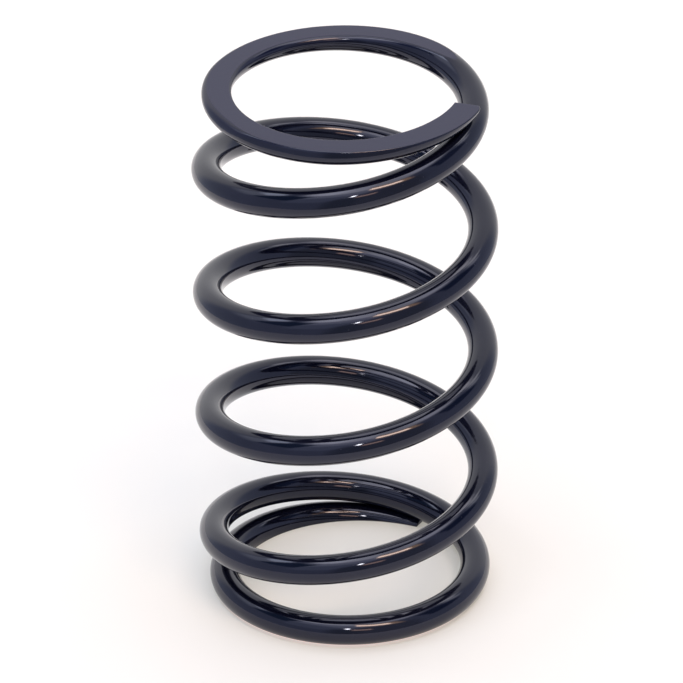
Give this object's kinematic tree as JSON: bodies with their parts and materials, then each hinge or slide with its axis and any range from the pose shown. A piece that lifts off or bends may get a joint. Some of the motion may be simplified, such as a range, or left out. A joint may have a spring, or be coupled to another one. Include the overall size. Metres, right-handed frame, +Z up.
{
  "type": "coilover spring",
  "caption": "Round-wire compression spring for a coil-over damper: open body coils, smaller closed ends ground flat to seats, dark blue powder coat.",
  "frame": {"origin": "on the spring's axis, in the plane of the lower ground face", "axes": "+Z runs up the axis to the upper ground face, -Y is the side that the picture looks at, +X is to its right"},
  "size_m": [0.0828, 0.0828, 0.1524],
  "materials": {
    "powder_coat": "gloss navy powder coat"
  },
  "bodies": {
    "root": {"coil_spring": "powder_coat"}
  },
  "joints": []
}
